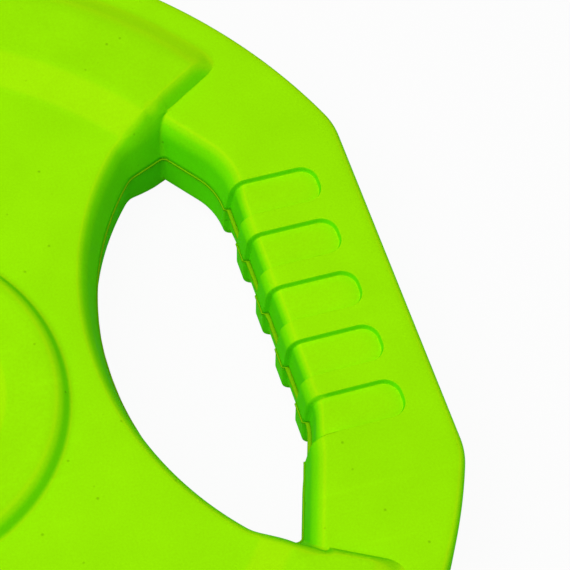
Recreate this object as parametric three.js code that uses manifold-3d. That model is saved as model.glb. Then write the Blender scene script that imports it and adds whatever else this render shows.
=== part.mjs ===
// A rubber-covered grip weight plate, lying flat, in millimetres, with +Z along its bore.
// The origin is on the bore axis, in the parting plane midway between the two faces.
// Two rubber halves close round a cast-iron core, and a steel sleeve lines the bore.
// The plate repeats by a third of a turn: it has three grips, the first one on +X.

import * as THREE from "three";
import { mergeVertices } from "three/addons/utils/BufferGeometryUtils.js";
import Module from "manifold-3d";

const wasm = await Module();
wasm.setup();

// Thicknesses and edges of the plate
const gripCount = 3;
const webThickness = 28;
const raisedHeight = 5;
const edgeRadius = 4.6;
const openingEdgeRun = 5;
const partingLand = 1;

// Bore and steel sleeve
const boreDiameter = 50.6;
const sleeveWall = 5.7;
const sleeveLength = 33;
const sleeveChamfer = 1;

// Raised hub round the sleeve, from its mouth outward
const hubMouthRun = 6;
const hubTopWidth = 12.3;
const hubWallRun = 5;

// Web, grip opening, bar and flat outer side, measured outward from the hub across a grip
const webWidth = 13.8;
const openingWidth = 47.9;
const barWidth = 38.7;
const gripFlatDepth = 10.3;
const gripFlatCornerRadius = 22;

// Grip opening in plan at the parting plane: half its length, and where its ends turn
const openingHalfLength = 67;
const openingTipSetback = 11.2;
const openingTipRun = 20;
const openingTipRadius = 1.2;
const openingShoulderSetback = 24;
const openingShoulderDrop = 5;
const openingShoulderRadius = 8;
const barCornerRadius = 20;

// Raised rim between the grips, measured inward from the plate's edge
const rimLedge = 8.5;
const rimTopWidth = 32.6;
const bandRun = 11.3;
const rimWallRun = 3.6;
const rimEndRun = 3.5;
const rimEndSetback = 0.2;
const rimCornerRadius = 8;

// Step from the rim down to the grip: a point at its foot, and the slope of its line in plan
const stepSetback = 4.2;
const stepClearance = 9.9;
const stepSlope = THREE.MathUtils.degToRad(31);

// Finger pockets across the inner edge of each grip's bar, on both faces
const pocketCount = 5;
const pocketPitch = 18.66;
const pocketWidth = 12.1;
const pocketLength = 26.7;
const pocketEndFlat = 2.1;
const pocketDepth = 1.8;
const pocketRowOffset = 0.7;

// Rubber thickness over the core, clearances and cuts
const skinThickness = 4;
const fitGap = 0.3;
const cutOverrun = 4;
const weldTolerance = 0.0001;

// How finely the round stretches are divided
const rimArcSteps = 10;
const innerArcSteps = 10;
const cornerSteps = 3;
const pocketCornerSteps = 2;
const edgeSteps = 3;
const coreEdgeSteps = 1;
const turnSteps = 48;

// Heights above the parting plane, and angles
const webHalf = webThickness / 2;
const faceHalf = webHalf + raisedHeight;
const landHalf = partingLand / 2;
const sleeveHalf = sleeveLength / 2;
const gripTurn = (2 * Math.PI) / gripCount;
const quarterTurn = Math.PI / 2;

// Radii and distances from the axis, from the bore outward
const boreRadius = boreDiameter / 2;
const sleeveRadius = boreRadius + sleeveWall;
const sleeveHoleRadius = sleeveRadius + fitGap;
const hubMouthRadius = sleeveRadius + hubMouthRun;
const hubTopRadius = hubMouthRadius + hubTopWidth;
const hubBaseRadius = hubTopRadius + hubWallRun;
const openingInnerDistance = hubBaseRadius + webWidth;
const barInnerDistance = openingInnerDistance + openingWidth;
const gripFlatDistance = barInnerDistance + barWidth;
const plateRadius = gripFlatDistance + gripFlatDepth;
const rimOuterRadius = plateRadius - rimLedge;
const bandOuterRadius = rimOuterRadius - rimTopWidth;
const bandInnerRadius = bandOuterRadius - bandRun;

// Points along an arc, both ends included
function arcPoints(centreX, centreY, radius, from, to, steps) {
  const points = [];
  for (let i = 0; i <= steps; i += 1) {
    const angle = from + ((to - from) * i) / steps;
    const x = centreX + radius * Math.cos(angle);
    const y = centreY + radius * Math.sin(angle);
    points.push(new THREE.Vector2(x, y));
  }
  return points;
}

// The same points turned about the bore axis
function turned(points, angle) {
  const axis = new THREE.Vector2();
  return points.map((point) => point.clone().rotateAround(axis, angle));
}

// The same points mirrored in the line through the axis at half the given turn
function mirrored(points, turn) {
  const cos = Math.cos(turn);
  const sin = Math.sin(turn);
  const image = (point) => new THREE.Vector2(
    point.x * cos + point.y * sin, point.x * sin - point.y * cos);
  return points.map(image).reverse();
}

// How far a point lies from the axis along a direction
function reachAlong(point, angle) {
  return point.x * Math.cos(angle) + point.y * Math.sin(angle);
}

// Where two lines cross, each given by its normal's angle and its distance from the axis
function crossing(angleA, distanceA, angleB, distanceB) {
  const determinant = Math.sin(angleB - angleA);
  const x = (distanceA * Math.sin(angleB) - distanceB * Math.sin(angleA)) / determinant;
  const y = (distanceB * Math.cos(angleA) - distanceA * Math.cos(angleB)) / determinant;
  return new THREE.Vector2(x, y);
}

// Outline of the whole plate: three round stretches joined by the grips' flat sides
function plateOutline(inset) {
  const cornerX = gripFlatDistance - gripFlatCornerRadius;
  const cornerY = Math.sqrt((plateRadius - gripFlatCornerRadius) ** 2 - cornerX ** 2);
  const angle = Math.atan2(cornerY, cornerX);
  const corner = arcPoints(
    cornerX, cornerY, gripFlatCornerRadius - inset, 0, angle, cornerSteps);
  const round = arcPoints(0, 0, plateRadius - inset, angle, gripTurn - angle, rimArcSteps);
  const third = [...corner, ...round.slice(1, -1), ...mirrored(corner, gripTurn)];
  const outline = [];
  for (let grip = 0; grip < gripCount; grip += 1) {
    outline.push(...turned(third, grip * gripTurn));
  }
  return outline;
}

// Outline of the grip opening on +X, widened all round by the given amount
function openingOutline(grow) {
  const tip = new THREE.Vector2(barInnerDistance - openingTipSetback, openingHalfLength);
  const shoulder = new THREE.Vector2(
    barInnerDistance - openingShoulderSetback, openingHalfLength - openingShoulderDrop);
  const barNormal = Math.atan2(openingTipSetback, openingTipRun);
  const endNormal = quarterTurn + Math.atan2(tip.y - shoulder.y, tip.x - shoulder.x);
  const barReach = reachAlong(tip, barNormal);
  const endReach = reachAlong(tip, endNormal);
  const bar = crossing(
    0, barInnerDistance - barCornerRadius, barNormal, barReach - barCornerRadius);
  const nose = crossing(
    barNormal, barReach - openingTipRadius, endNormal, endReach - openingTipRadius);
  const rise = shoulder.x - openingInnerDistance;
  const innerRadius = (shoulder.y ** 2 + rise ** 2) / (2 * rise);
  const centre = openingInnerDistance + innerRadius;
  const orbit = innerRadius - openingShoulderRadius;
  const centreReach = reachAlong(new THREE.Vector2(centre, 0), endNormal);
  const swing = Math.acos((endReach - openingShoulderRadius - centreReach) / orbit);
  const endAngle = endNormal + swing;
  const shoulderX = centre + orbit * Math.cos(endAngle);
  const shoulderY = orbit * Math.sin(endAngle);
  const shoulderRound = arcPoints(
    shoulderX, shoulderY, openingShoulderRadius + grow, endNormal, endAngle, cornerSteps);
  const half = [
    ...arcPoints(bar.x, bar.y, barCornerRadius + grow, 0, barNormal, cornerSteps),
    ...arcPoints(nose.x, nose.y, openingTipRadius + grow, barNormal, endNormal, cornerSteps),
    ...shoulderRound.slice(0, -1),
  ];
  const inner = arcPoints(
    centre, 0, innerRadius + grow, endAngle, 2 * Math.PI - endAngle, innerArcSteps);
  return [...half, ...inner, ...mirrored(half, 0)];
}

// Outline at its foot of the raised rim between the grip on +X and the next grip
function rimOutline(inset) {
  const stepNormal = stepSlope - quarterTurn;
  const stepFoot = new THREE.Vector2(
    barInnerDistance - stepSetback, openingHalfLength + stepClearance);
  const line = reachAlong(stepFoot, stepNormal) - inset;
  const outer = rimOuterRadius - inset;
  const cornerRadius = rimCornerRadius - inset;
  const orbit = outer - cornerRadius;
  const cornerAngle = stepNormal + Math.acos((line - cornerRadius) / orbit);
  const inner = bandInnerRadius - cutOverrun;
  const innerAngle = stepNormal + Math.acos(line / inner);
  const start = new THREE.Vector2(
    inner * Math.cos(innerAngle), inner * Math.sin(innerAngle));
  const corner = arcPoints(
    orbit * Math.cos(cornerAngle), orbit * Math.sin(cornerAngle),
    cornerRadius, stepNormal, cornerAngle, cornerSteps);
  const half = [start, ...corner];
  const round = arcPoints(0, 0, outer, cornerAngle, gripTurn - cornerAngle, rimArcSteps);
  const back = arcPoints(0, 0, inner, gripTurn - innerAngle, innerAngle, rimArcSteps);
  return [...half, ...round.slice(1, -1), ...mirrored(half, gripTurn), ...back.slice(1, -1)];
}

// Outline of one finger pocket, running out past the inner edge of the bar
function pocketOutline(middle) {
  const half = pocketWidth / 2;
  const offset = pocketEndFlat / 2;
  const radius = half - offset;
  const reach = barInnerDistance + pocketLength - radius;
  const mouth = barInnerDistance - cutOverrun;
  return [
    new THREE.Vector2(mouth, middle - half),
    ...arcPoints(reach, middle - offset, radius, -quarterTurn, 0, pocketCornerSteps),
    ...arcPoints(reach, middle + offset, radius, 0, quarterTurn, pocketCornerSteps),
    new THREE.Vector2(mouth, middle + half),
  ];
}

// Geometry as a closed solid that can be joined and cut
function solid(geometry) {
  const bare = geometry.clone();
  bare.deleteAttribute("normal");
  bare.deleteAttribute("uv");
  const merged = mergeVertices(bare, weldTolerance);
  const vertProperties = new Float32Array(merged.attributes.position.array);
  const corners = [];
  for (let i = 0; i < merged.index.count; i += 3) {
    const [a, b, c] = merged.index.array.slice(i, i + 3);
    if (a !== b && b !== c && c !== a) {
      corners.push(a, b, c);
    }
  }
  const triVerts = new Uint32Array(corners);
  return new wasm.Manifold(new wasm.Mesh({ numProp: 3, vertProperties, triVerts }));
}

// The same geometry once for each grip, joined into one solid
function perGrip(geometry) {
  let joined = solid(geometry);
  for (let grip = 1; grip < gripCount; grip += 1) {
    joined = joined.add(solid(geometry.clone().rotateZ(grip * gripTurn)));
  }
  return joined;
}

// A block with the given plan, from one height to another
function block(outline, bottom, top) {
  const settings = { depth: top - bottom, bevelEnabled: false };
  const geometry = new THREE.ExtrudeGeometry(new THREE.Shape(outline), settings);
  return geometry.translate(0, 0, bottom);
}

// A block centred on the parting plane, narrowing by run over the last rise at each end
function narrowingBlock(shape, halfHeight, rise, run, steps) {
  const depth = 2 * (halfHeight - rise);
  const settings = {
    depth,
    bevelEnabled: true,
    bevelThickness: rise,
    bevelSize: run,
    bevelOffset: -run,
    bevelSegments: steps,
  };
  return new THREE.ExtrudeGeometry(shape, settings).translate(0, 0, -depth / 2);
}

// A disc or ring about the bore axis, its profile listed from the parting plane up and inward
function turnedSolid(upper) {
  const above = upper.map(([radius, height]) => new THREE.Vector2(radius, height));
  const below = upper.map(([radius, height]) => new THREE.Vector2(radius, -height));
  const profile = [...below.reverse(), ...above];
  if (profile[0].x > 0) {
    profile.push(profile[0]);
  }
  return solid(new THREE.LatheGeometry(profile, turnSteps).rotateX(quarterTurn));
}

// How far the foot of a face moves in plan when a wall sloping by run is set inward
function footShift(inset, run) {
  const slope = run / raisedHeight;
  return inset * (Math.hypot(slope, 1) - slope);
}

// The flat disc with its rim rounded, and its openings rounded over from the parting plane
function discSolid(inset, steps) {
  const halfHeight = webHalf - inset;
  const edge = new THREE.Shape(plateOutline(inset));
  const opened = new THREE.Shape(plateOutline(inset - openingEdgeRun - cutOverrun));
  for (let grip = 0; grip < gripCount; grip += 1) {
    opened.holes.push(new THREE.Path(turned(openingOutline(inset), grip * gripTurn)));
  }
  const rise = halfHeight - landHalf;
  const disc = solid(narrowingBlock(edge, halfHeight, edgeRadius, edgeRadius, steps));
  return disc.intersect(solid(narrowingBlock(opened, halfHeight, rise, openingEdgeRun, steps)));
}

// What the openings cut from the rim's ends, wider towards each face
function flareSolid(inset) {
  const rise = raisedHeight + cutOverrun;
  const run = (rimEndRun * rise) / raisedHeight;
  const shape = new THREE.Shape(openingOutline(inset + openingEdgeRun + rimEndSetback));
  return perGrip(narrowingBlock(shape, faceHalf + cutOverrun - inset, rise, -run, 1));
}

// The raised rim on both faces: a flat top sloping down to the web on its inner side
function rimSolid(inset) {
  const top = faceHalf - inset;
  const rise = raisedHeight + cutOverrun;
  const run = (rimWallRun * rise) / raisedHeight;
  const footInset = footShift(inset, rimWallRun) + rimWallRun - run;
  const shape = new THREE.Shape(rimOutline(footInset));
  const sectors = perGrip(narrowingBlock(shape, top, rise, run, 1));
  const shift = footShift(inset, bandRun);
  const ring = turnedSolid([
    [plateRadius, top],
    [bandOuterRadius + shift, top],
    [bandInnerRadius + shift, webHalf - inset],
  ]);
  return sectors.intersect(ring).subtract(flareSolid(inset));
}

// The raised hub on both faces
function hubSolid(inset) {
  const shift = footShift(inset, hubWallRun);
  return turnedSolid([
    [hubBaseRadius - shift, webHalf - inset],
    [hubTopRadius - shift, faceHalf - inset],
    [0, faceHalf - inset],
  ]);
}

// The plate without its bore and pockets, every face set inward by the same amount
function plateSolid(inset, steps) {
  return discSolid(inset, steps).add(rimSolid(inset)).add(hubSolid(inset));
}

// What the finger pockets cut: a layer as deep as a pocket, over the edge to the parting land
function pocketCuts() {
  const first = (-pocketPitch * (pocketCount - 1)) / 2 + pocketRowOffset;
  const reach = webHalf + cutOverrun;
  let cuts = null;
  for (let i = 0; i < pocketCount; i += 1) {
    const outline = pocketOutline(first + i * pocketPitch);
    const above = perGrip(block(outline, landHalf, reach));
    const below = perGrip(block(outline, -reach, -landHalf));
    const pair = above.add(below);
    cuts = cuts === null ? pair : cuts.add(pair);
  }
  return cuts.subtract(discSolid(pocketDepth, edgeSteps));
}

// The hole through the rubber: round the sleeve, then flaring out to the hub's faces
function mouthSolid() {
  const flare = (hubMouthRadius - sleeveHoleRadius) / (faceHalf - sleeveHalf);
  return turnedSolid([
    [sleeveHoleRadius, sleeveHalf],
    [hubMouthRadius + flare * cutOverrun, faceHalf + cutOverrun],
    [0, faceHalf + cutOverrun],
  ]);
}

// All the rubber, hollow where the core sits
function rubberSolid() {
  const outside = plateSolid(0, edgeSteps).subtract(pocketCuts());
  const hollow = plateSolid(skinThickness - fitGap, coreEdgeSteps);
  return outside.subtract(hollow).subtract(mouthSolid());
}

// One half of the rubber, cut off at the parting plane; side is 1 above it and -1 below
function coverSolid(rubber, side) {
  const width = 2 * (plateRadius + cutOverrun);
  const height = faceHalf + cutOverrun;
  const half = new THREE.BoxGeometry(width, width, height);
  return rubber.intersect(solid(half.translate(0, 0, (side * height) / 2)));
}

// The iron core, bored for the sleeve
function coreSolid() {
  const bore = turnedSolid([
    [sleeveHoleRadius, faceHalf],
    [0, faceHalf],
  ]);
  return plateSolid(skinThickness, coreEdgeSteps).subtract(bore);
}

// The sleeve, with its edges broken at both ends
function sleeveSolid() {
  return turnedSolid([
    [sleeveRadius, sleeveHalf - sleeveChamfer],
    [sleeveRadius - sleeveChamfer, sleeveHalf],
    [boreRadius + sleeveChamfer, sleeveHalf],
    [boreRadius, sleeveHalf - sleeveChamfer],
  ]);
}

// A finished solid as a named mesh
function meshOf(name, shape, material) {
  const surface = shape.getMesh();
  const geometry = new THREE.BufferGeometry();
  geometry.setAttribute("position", new THREE.BufferAttribute(surface.vertProperties, 3));
  geometry.setIndex(new THREE.BufferAttribute(surface.triVerts, 1));
  geometry.computeVertexNormals();
  const mesh = new THREE.Mesh(geometry, material);
  mesh.name = name;
  return mesh;
}

const rubber = rubberSolid();
const frontRubber = new THREE.MeshStandardMaterial({
  color: "rgb(151, 231, 4)", roughness: 0.55, metalness: 0,
});
const backRubber = new THREE.MeshStandardMaterial({
  color: "rgb(151, 231, 4)", roughness: 0.55, metalness: 0,
});
const castIron = new THREE.MeshStandardMaterial({
  color: "rgb(72, 72, 75)", roughness: 0.8, metalness: 0.9,
});
const turnedSteel = new THREE.MeshStandardMaterial({
  color: "rgb(188, 190, 193)", roughness: 0.3, metalness: 1,
});

const plate = new THREE.Group();
plate.add(meshOf("front_cover", coverSolid(rubber, 1), frontRubber));
plate.add(meshOf("back_cover", coverSolid(rubber, -1), backRubber));
plate.add(meshOf("core", coreSolid(), castIron));
plate.add(meshOf("bore_sleeve", sleeveSolid(), turnedSteel));

export default plate;
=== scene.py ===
import math

import bmesh
import bpy
import numpy as np
from mathutils import Matrix, Vector
from mathutils.geometry import delaunay_2d_cdt


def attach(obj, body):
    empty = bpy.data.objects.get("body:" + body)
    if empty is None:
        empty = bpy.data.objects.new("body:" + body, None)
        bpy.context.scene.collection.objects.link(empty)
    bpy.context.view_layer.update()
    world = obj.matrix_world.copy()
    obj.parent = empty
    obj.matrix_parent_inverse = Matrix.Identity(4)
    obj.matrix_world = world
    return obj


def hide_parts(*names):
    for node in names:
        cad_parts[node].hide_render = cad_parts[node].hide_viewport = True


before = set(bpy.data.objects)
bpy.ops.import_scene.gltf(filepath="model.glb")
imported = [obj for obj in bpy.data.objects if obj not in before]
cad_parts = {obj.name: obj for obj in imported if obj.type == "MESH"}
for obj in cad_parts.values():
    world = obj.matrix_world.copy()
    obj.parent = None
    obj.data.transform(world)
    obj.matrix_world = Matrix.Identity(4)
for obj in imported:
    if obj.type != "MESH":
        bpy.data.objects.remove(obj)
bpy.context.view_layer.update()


# Front half of the rubber skin, the side that faces up. It is pressed from one sheet of lime
# green rubber over the iron, so it is one piece: hub, web, rim, three grip bars with their
# finger pockets, and walls running down to the parting line half way through the plate.

MM = 0.001
THIRD = 2 * math.pi / 3

# heights above the parting line
WEB_TOP = 14.0
RAISE = 5.0

# straight outer side of a grip, and the round edge
EDGE_RADIUS = 165.0
GRIP_FLAT = 154.7
GRIP_FLAT_CORNER = 22.0
EDGE_DRAFT = 0.4
EDGE_BREAK = 9.5
EDGE_ROUND = 4.6
EDGE_POWER = 3.0
EDGE_BAND = 6.0

# grip opening at the parting line
BAR_INNER = 116.0
BAR_CORNER = 20.0
TIP = np.array([104.2, 66.9])
UPPER_RUN = 15.4
LOWER_RUN = 34.0
TIP_RADIUS = 2.2
TIP_TOP_RADIUS = 1.2
SHOULDER = np.array([92.3, 62.0])
SHOULDER_RADIUS = 8.0
OPENING_INNER = 68.1
WALL_FOOT = 0.12

# the opening's walls: draft, the height where the rounding starts and the rounding's width,
# for the bar's straight side, its slants, the plate's side and the rim's end; the back half's
# walls are steeper and its edges tighter
FRONT_WALLS = {
    "bar": np.array([0.6, 9.2, 4.5]), "slant": np.array([1.2, 8.0, 4.2]),
    "plate": np.array([2.5, 9.0, 2.8]), "rim_end": np.array([1.8, 9.5, 3.9]),
    "rim_tip": np.array([3.4, 10.0, 3.2])}
BACK_WALLS = {
    "bar": np.array([0.6, 9.2, 4.8]), "slant": np.array([0.2, 10.0, 3.6]),
    "plate": np.array([0.2, 10.0, 3.6]), "rim_end": np.array([0.4, 13.5, 4.5]),
    "rim_tip": np.array([0.9, 12.5, 4.4])}
TIP_WALL_SPAN = (95.5, 108.5)
SLANT_START = 36.0
SLANT_BLEND = 12.0
WALL_LEVELS = (
    14.0, 13.93, 13.71, 13.36, 12.88, 12.29, 11.6, 10.84, 10.03, 9.2, 8.2, 7.0, 5.4, 3.4, 1.4, 0.0)

# raised rim: the broad slope's two edges, the outer edge, and the steps at its upper and lower
# end, each as a point on the step and the way it runs
BAND_INNER = 112.6
BAND_OUTER = 123.9
RIM_OUTER = 156.5
RIM_CORNER = 8.0
RIM_WALL = 4.2
RIM_SLOPE = 13.5
STEPS = {
    1: (np.array([111.8, 76.7]), math.radians(31.5)),
    -1: (np.array([111.8, 78.25]), math.radians(28.1))}
LOWER_LEAN = 2.4

# hub
HUB_RING = 57.5
HUB_PROFILE = (
    (57.5, 14.0), (56.2, 14.0), (55.4, 14.05), (54.8, 14.25), (54.35, 14.6), (53.9, 15.2),
    (53.4, 16.1), (52.8, 17.0), (52.0, 17.8), (51.0, 18.45), (49.9, 18.85), (48.8, 19.0),
    (47.8, 19.0), (43.0, 19.0), (38.6, 19.0), (37.8, 18.96), (37.1, 18.8), (36.4, 18.5),
    (34.0, 17.45), (32.2, 16.66), (31.7, 16.4), (31.4, 16.1),
)
HUB_STEPS = 240

# finger pockets
POCKETS = 5
POCKET_PITCH = 18.66
POCKET_SHIFT = 0.7
POCKET_WIDTH = 12.1
POCKET_END = 142.7
POCKET_CORNER = 5.0
POCKET_DEPTH = 1.8
POCKET_BRINK = 0.2
POCKET_FOOT = -0.5
POCKET_LIMIT = 105.0


def along_arc(centre, radius, start, end, step):
    count = max(1, math.ceil(abs(end - start) * radius / step))
    angles = np.linspace(start, end, count + 1)
    return np.c_[centre[0] + radius * np.cos(angles), centre[1] + radius * np.sin(angles)], angles


def facing(angle):
    return np.array([math.cos(angle), math.sin(angle)])


def line_crossing(angle_a, reach_a, angle_b, reach_b):
    rows = np.array([facing(angle_a), facing(angle_b)])
    return np.linalg.solve(rows, np.array([reach_a, reach_b]))


# where the opening's straight and round stretches meet, on the half with positive y
END_NORMAL = math.pi / 2 + math.atan2(TIP[1] - SHOULDER[1], TIP[0] - SHOULDER[0])
END_REACH = TIP @ facing(END_NORMAL)
INNER_RISE = SHOULDER[0] - OPENING_INNER
INNER_RADIUS = (SHOULDER[1] ** 2 + INNER_RISE ** 2) / (2 * INNER_RISE)
INNER_CENTRE = np.array([OPENING_INNER + INNER_RADIUS, 0.0])
SHOULDER_ORBIT = INNER_RADIUS - SHOULDER_RADIUS
SHOULDER_SWING = math.acos(
    (END_REACH - SHOULDER_RADIUS - INNER_CENTRE @ facing(END_NORMAL)) / SHOULDER_ORBIT)
INNER_START = END_NORMAL + SHOULDER_SWING
SHOULDER_CENTRE = INNER_CENTRE + SHOULDER_ORBIT * facing(INNER_START)


def bar_slant(run):
    """The bar's slanted inner side next to a tip: the way it faces and the centres of the
    roundings at its two ends. The bar is slimmer at its upper end than at its lower end."""
    angle = math.atan2(BAR_INNER - TIP[0], run)
    reach = TIP @ facing(angle)
    bar_centre = line_crossing(0.0, BAR_INNER - BAR_CORNER, angle, reach - BAR_CORNER)
    tip_centre = line_crossing(angle, reach - TIP_RADIUS, END_NORMAL, END_REACH - TIP_RADIUS)
    return angle, bar_centre, tip_centre


def pocket_middles():
    first = -POCKET_PITCH * (POCKETS - 1) / 2 + POCKET_SHIFT
    return [first + POCKET_PITCH * i for i in range(POCKETS)]


# distances of pocket wall rows from the pocket's outline, outside to inside
POCKET_ROWS = (1.1, 0.55, 0.3, 0.16, 0.02, -0.12, -0.26, -0.4, -0.54, -0.68, -0.84, -1.25, -2.2)


def bar_columns():
    """Places along the straight inner side of the bar, closer together at the pocket walls."""
    upper_end = bar_slant(UPPER_RUN)[1][1]
    lower_end = -bar_slant(LOWER_RUN)[1][1]
    wanted = []
    for middle in pocket_middles():
        for row in POCKET_ROWS:
            wanted += [middle - POCKET_WIDTH / 2 - row, middle + POCKET_WIDTH / 2 + row]
    wanted = sorted(y for y in wanted if lower_end + 0.05 < y < upper_end - 0.05)
    places = [lower_end]
    for y in wanted + [upper_end]:
        gap = y - places[-1]
        extra = int(gap // 1.7)
        places += [places[-1] + gap * (i + 1) / (extra + 1) for i in range(extra)]
        if y - places[-1] > 0.04:
            places.append(y)
    places[-1] = upper_end
    return np.array(places)


def end_columns(run, step):
    """Columns round one end of the opening, from the bar's straight side to the plate's side."""
    still = np.zeros(2)
    slant, bar_centre, tip_centre = bar_slant(run)
    points, angles = along_arc(bar_centre, BAR_CORNER, 0.0, slant, step)
    columns = [(point, facing(angle), still, still) for point, angle in zip(points[1:], angles[1:])]
    last = tip_centre + TIP_RADIUS * facing(slant)
    start = columns[-1][0]
    count = int(np.linalg.norm(last - start) // (1.4 * step)) + 1
    for i in range(1, count + 1):
        columns.append((start + (last - start) * i / count, facing(slant), still, still))
    spread = np.linalg.inv(np.array([facing(slant), facing(END_NORMAL)]))
    points, angles = along_arc(tip_centre, TIP_RADIUS, slant, END_NORMAL, 0.3)
    for point, angle in zip(points, angles):
        columns.append((point, spread[:, 0], spread[:, 1], facing(angle) - spread.sum(1)))
    start = tip_centre + TIP_RADIUS * facing(END_NORMAL)
    last = SHOULDER_CENTRE + SHOULDER_RADIUS * facing(END_NORMAL)
    count = int(np.linalg.norm(last - start) // 0.7) + 1
    for i in range(count):
        columns.append((start + (last - start) * i / count, still, facing(END_NORMAL), still))
    points, angles = along_arc(SHOULDER_CENTRE, SHOULDER_RADIUS, END_NORMAL, INNER_START, 0.5)
    return columns + [(point, still, facing(angle), still) for point, angle in zip(points, angles)]


def opening_columns():
    """Columns of the opening's wall: each one's foot, how the bar's and the plate's wall carry
    it outward as it rises, and how it moves where the tip's corner gets sharper."""
    still = np.zeros(2)
    columns = [(np.array([BAR_INNER, y]), facing(0.0), still, still) for y in bar_columns()]
    points, angles = along_arc(
        INNER_CENTRE, INNER_RADIUS, INNER_START, 2 * math.pi - INNER_START, 1.4)
    inner = [(point, still, facing(angle), still) for point, angle in zip(points[1:-1], angles[1:-1])]
    mirror = np.array([1.0, -1.0])
    lower = [tuple(part * mirror for part in column) for column in reversed(end_columns(LOWER_RUN, 0.3))]
    return [np.array(parts) for parts in zip(*(columns + end_columns(UPPER_RUN, 0.8) + inner + lower))]


def reach_at(level, wall, top):
    """How far outward of the parting line a wall has gone at a level, and its rounding's sine."""
    draft, turn_level, run = (wall[..., i] for i in range(3))
    sine = np.clip((level - turn_level) / (top - turn_level), 0, 1)
    drafted = WALL_FOOT + (draft - WALL_FOOT) * level / turn_level
    return drafted + run * (1 - np.sqrt(1 - sine ** 2)), sine


def plate_wall(points, share, walls):
    """The wall on the plate's side of the opening, which changes towards the rim and the tip."""
    wall = walls["plate"] + (walls["rim_end"] - walls["plate"]) * share[:, None]
    t = np.clip((points[:, 0] - TIP_WALL_SPAN[0]) / (TIP_WALL_SPAN[1] - TIP_WALL_SPAN[0]), 0, 1)
    t = (t * t * (3 - 2 * t))[:, None]
    wall = wall + (walls["rim_tip"] - wall) * t
    lean = LOWER_LEAN * walls["rim_end"][0] / FRONT_WALLS["rim_end"][0]
    wall[:, 0] += lean * share * (points[:, 1] < 0)
    return wall


def wall_rows(walls):
    """The opening's wall as level rows, from the face down to the parting line."""
    spots, by_bar, by_plate, by_corner = opening_columns()
    slant = np.clip((np.abs(spots[:, 1]) - SLANT_START) / SLANT_BLEND, 0, 1)[:, None]
    bar_wall = walls["bar"] + (walls["slant"] - walls["bar"]) * slant * slant * (3 - 2 * slant)
    rows = []
    for level in WALL_LEVELS:
        bar_reach, bar_sine = reach_at(level, bar_wall, WEB_TOP)
        plate_reach = np.full(len(spots), 5.0)
        for _ in range(12):
            plan = spots + by_bar * bar_reach[:, None] + by_plate * plate_reach[:, None]
            share = band_share(plan)
            wanted, _ = reach_at(level, plate_wall(plan, share, walls), WEB_TOP + RAISE * share)
            plate_reach = (plate_reach + wanted) / 2
        plan = spots + by_bar * bar_reach[:, None] + by_plate * plate_reach[:, None]
        radius = TIP_RADIUS + (TIP_TOP_RADIUS - TIP_RADIUS) * min(level / 10, 1)
        rows.append((level, plan + by_corner * (radius - TIP_RADIUS), bar_sine))
    return rows, by_bar


def edge_columns():
    """Points round a third of the plate's edge, from -60 to 60 degrees, and the way inward."""
    centre_x = GRIP_FLAT - GRIP_FLAT_CORNER
    centre_y = math.sqrt((EDGE_RADIUS - GRIP_FLAT_CORNER) ** 2 - centre_x ** 2)
    angle = math.atan2(centre_y, centre_x)
    flat = np.linspace(-centre_y, centre_y, 2 * int(centre_y / 1.8) + 1)
    corner, corner_angles = along_arc((centre_x, centre_y), GRIP_FLAT_CORNER, 0.0, angle, 0.8)
    rest, rest_angles = along_arc((0, 0), EDGE_RADIUS, angle, THIRD / 2, 1.8)
    half = list(zip(corner[1:], corner_angles[1:])) + list(zip(rest[1:], rest_angles[1:]))
    spots = [point * (1, -1) for point, _ in reversed(half)]
    ways = [-facing(-turn) for _, turn in reversed(half)]
    spots += [np.array([GRIP_FLAT, y]) for y in flat]
    ways += [np.array([-1.0, 0.0])] * len(flat)
    spots += [point for point, _ in half]
    ways += [-facing(turn) for _, turn in half]
    return np.array(spots), np.array(ways)


def distance_to_path(points, path):
    """Shortest distance of each point to a run of straight pieces."""
    start = path[:-1]
    run = path[1:] - start
    length2 = np.maximum((run ** 2).sum(1), 1e-12)
    best = np.full(len(points), 1e9)
    for at in range(0, len(points), 2000):
        some = points[at:at + 2000]
        rel = some[:, None, :] - start[None]
        share = np.clip((rel * run[None]).sum(2) / length2, 0, 1)
        gap = rel - share[..., None] * run[None]
        best[at:at + 2000] = np.sqrt((gap ** 2).sum(2).min(1))
    return best


def inside_path(points, path):
    """Whether each point is inside a closed path."""
    a = path
    b = np.roll(path, -1, axis=0)
    within = np.zeros(len(points), bool)
    for at in range(0, len(points), 2000):
        x = points[at:at + 2000, 0][:, None]
        y = points[at:at + 2000, 1][:, None]
        spans = (a[:, 1] > y) != (b[:, 1] > y)
        rise = np.where(b[:, 1] == a[:, 1], 1e-12, b[:, 1] - a[:, 1])
        cross = a[:, 0] + (y - a[:, 1]) * (b[:, 0] - a[:, 0]) / rise
        within[at:at + 2000] = (spans & (x < cross)).sum(1) % 2 == 1
    return within


def band_share(points):
    """How far the broad slope has risen at each point, from 0 on the web to 1 on the rim."""
    radius = np.hypot(points[:, 0], points[:, 1])
    band = (radius - BAND_INNER) / (BAND_OUTER - BAND_INNER)
    return -smooth_least(-smooth_least(band, np.ones_like(band), 0.16), np.zeros_like(band), 0.14)


def smooth_least(a, b, blend):
    closeness = np.maximum(blend - np.abs(a - b), 0) / blend
    return np.minimum(a, b) - closeness ** 2 * blend / 4


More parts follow.
